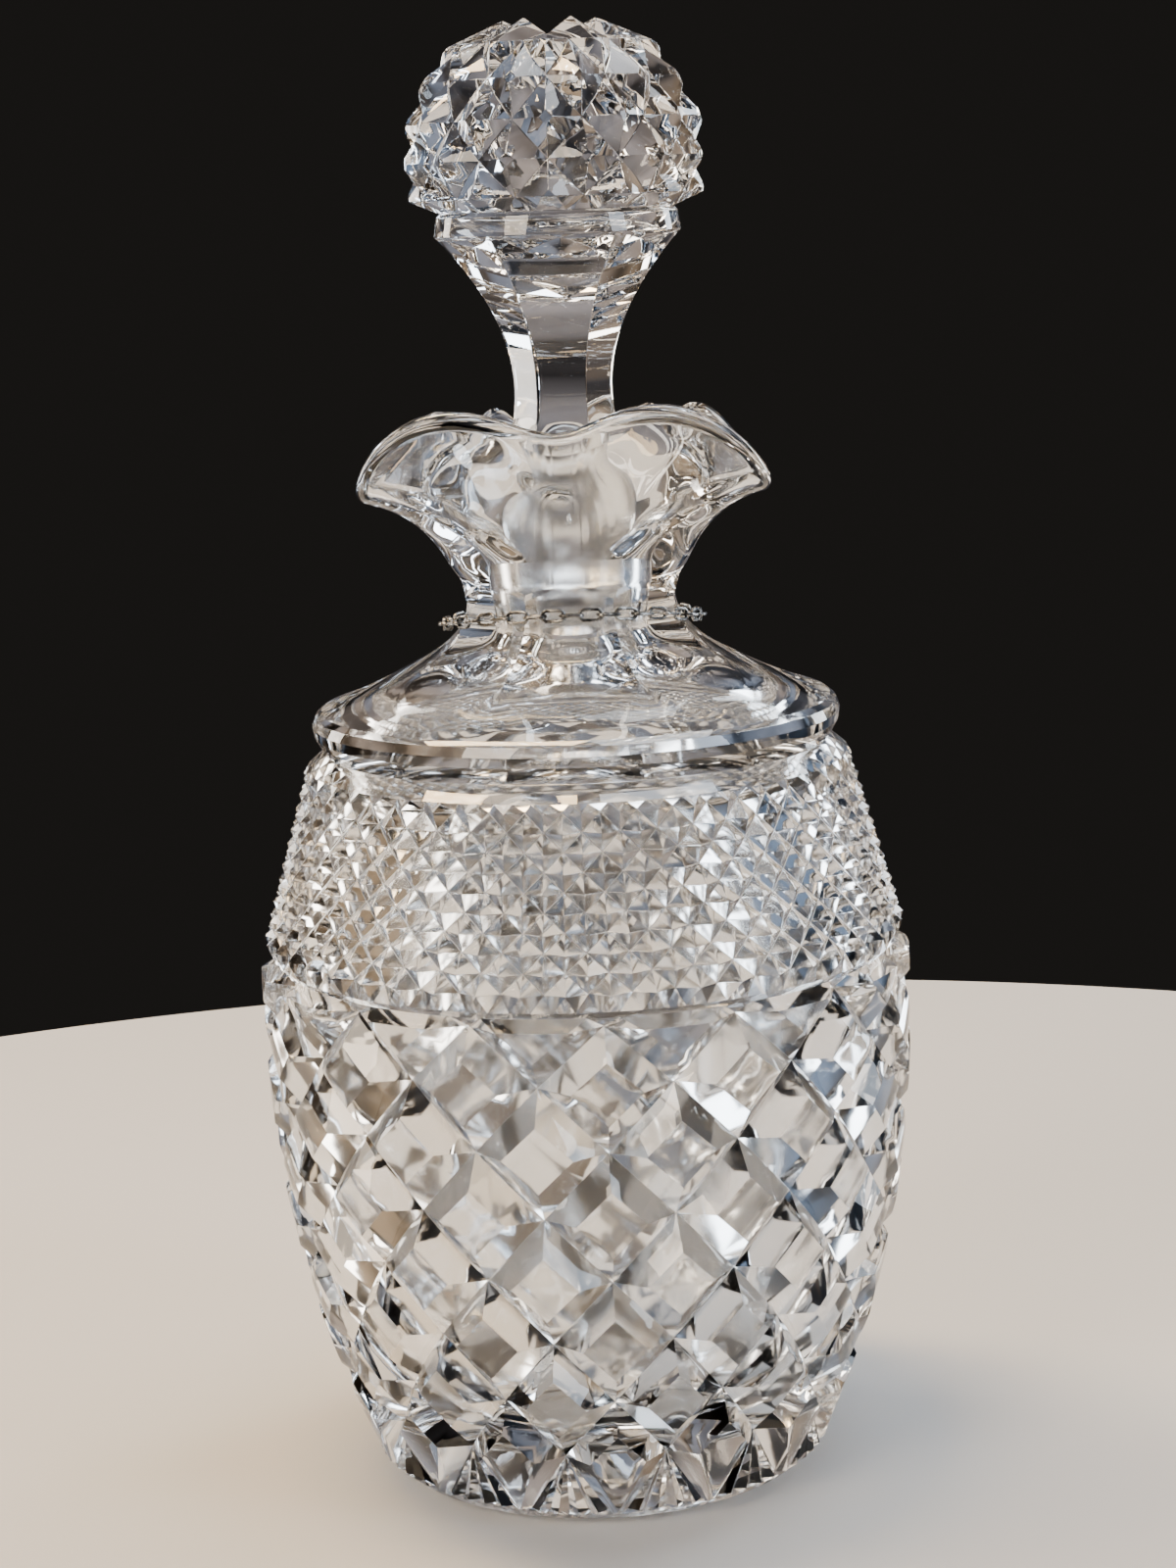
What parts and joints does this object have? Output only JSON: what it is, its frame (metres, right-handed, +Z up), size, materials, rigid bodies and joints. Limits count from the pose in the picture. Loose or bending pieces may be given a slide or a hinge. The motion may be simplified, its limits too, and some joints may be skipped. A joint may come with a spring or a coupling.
{
  "type": "wine decanter",
  "caption": "Cut-crystal wine decanter with a barrel body, three-lobed pouring lip, diamond-cut stopper and a plain silver label on a neck chain.",
  "frame": {"origin": "middle of the foot's resting face", "axes": "+Z up through the neck, -Y towards the front pinch of the lip"},
  "size_m": [0.1202, 0.1202, 0.2653],
  "materials": {
    "body_crystal": "polished clear lead crystal, wheel-cut",
    "stopper_crystal": "polished clear lead crystal, wheel-cut",
    "chain_silver": "worn silver plate, dark in the hollows",
    "label_silver": "polished silver with fine scratches"
  },
  "bodies": {
    "decanter": {"decanter_body": "body_crystal"},
    "stopper": {"stopper": "stopper_crystal"},
    "chain": {"chain_link_01": "chain_silver", "chain_link_02": "chain_silver", "chain_link_03": "chain_silver", "chain_link_04": "chain_silver", "chain_link_05": "chain_silver", "chain_link_06": "chain_silver", "chain_link_07": "chain_silver", "chain_link_08": "chain_silver", "chain_link_09": "chain_silver", "chain_link_10": "chain_silver", "chain_link_11": "chain_silver", "chain_link_12": "chain_silver", "chain_link_13": "chain_silver", "chain_link_14": "chain_silver", "chain_link_15": "chain_silver", "chain_link_16": "chain_silver", "chain_link_17": "chain_silver", "chain_link_18": "chain_silver", "chain_link_19": "chain_silver", "chain_link_20": "chain_silver", "chain_link_21": "chain_silver", "chain_link_22": "chain_silver", "chain_link_23": "chain_silver", "chain_link_24": "chain_silver", "chain_link_25": "chain_silver", "chain_link_26": "chain_silver", "chain_link_27": "chain_silver", "chain_link_28": "chain_silver", "chain_link_29": "chain_silver", "chain_link_30": "chain_silver", "chain_link_31": "chain_silver", "chain_link_32": "chain_silver", "chain_link_33": "chain_silver", "chain_link_34": "chain_silver", "chain_link_35": "chain_silver", "chain_link_36": "chain_silver", "chain_link_37": "chain_silver", "chain_link_38": "chain_silver", "chain_link_39": "chain_silver"},
    "label": {"neck_label": "label_silver", "jump_ring_left": "chain_silver", "jump_ring_right": "chain_silver"}
  },
  "joints": [
    {"name": "stopper_lift", "type": "slide", "parent": "decanter", "child": "stopper", "axis": [0, 0, 1], "range_m": [0, 0.06]},
    {"name": "chain_turn", "type": "hinge", "parent": "decanter", "child": "chain", "pos_m": [0, 0, 0.158], "axis": [0, 0, 1], "continuous": true},
    {"name": "label_swing", "type": "hinge", "parent": "chain", "child": "label", "pos_m": [0, 0.0263, 0.1566], "axis": [1, 0, 0], "range_deg": [0, 60]}
  ]
}
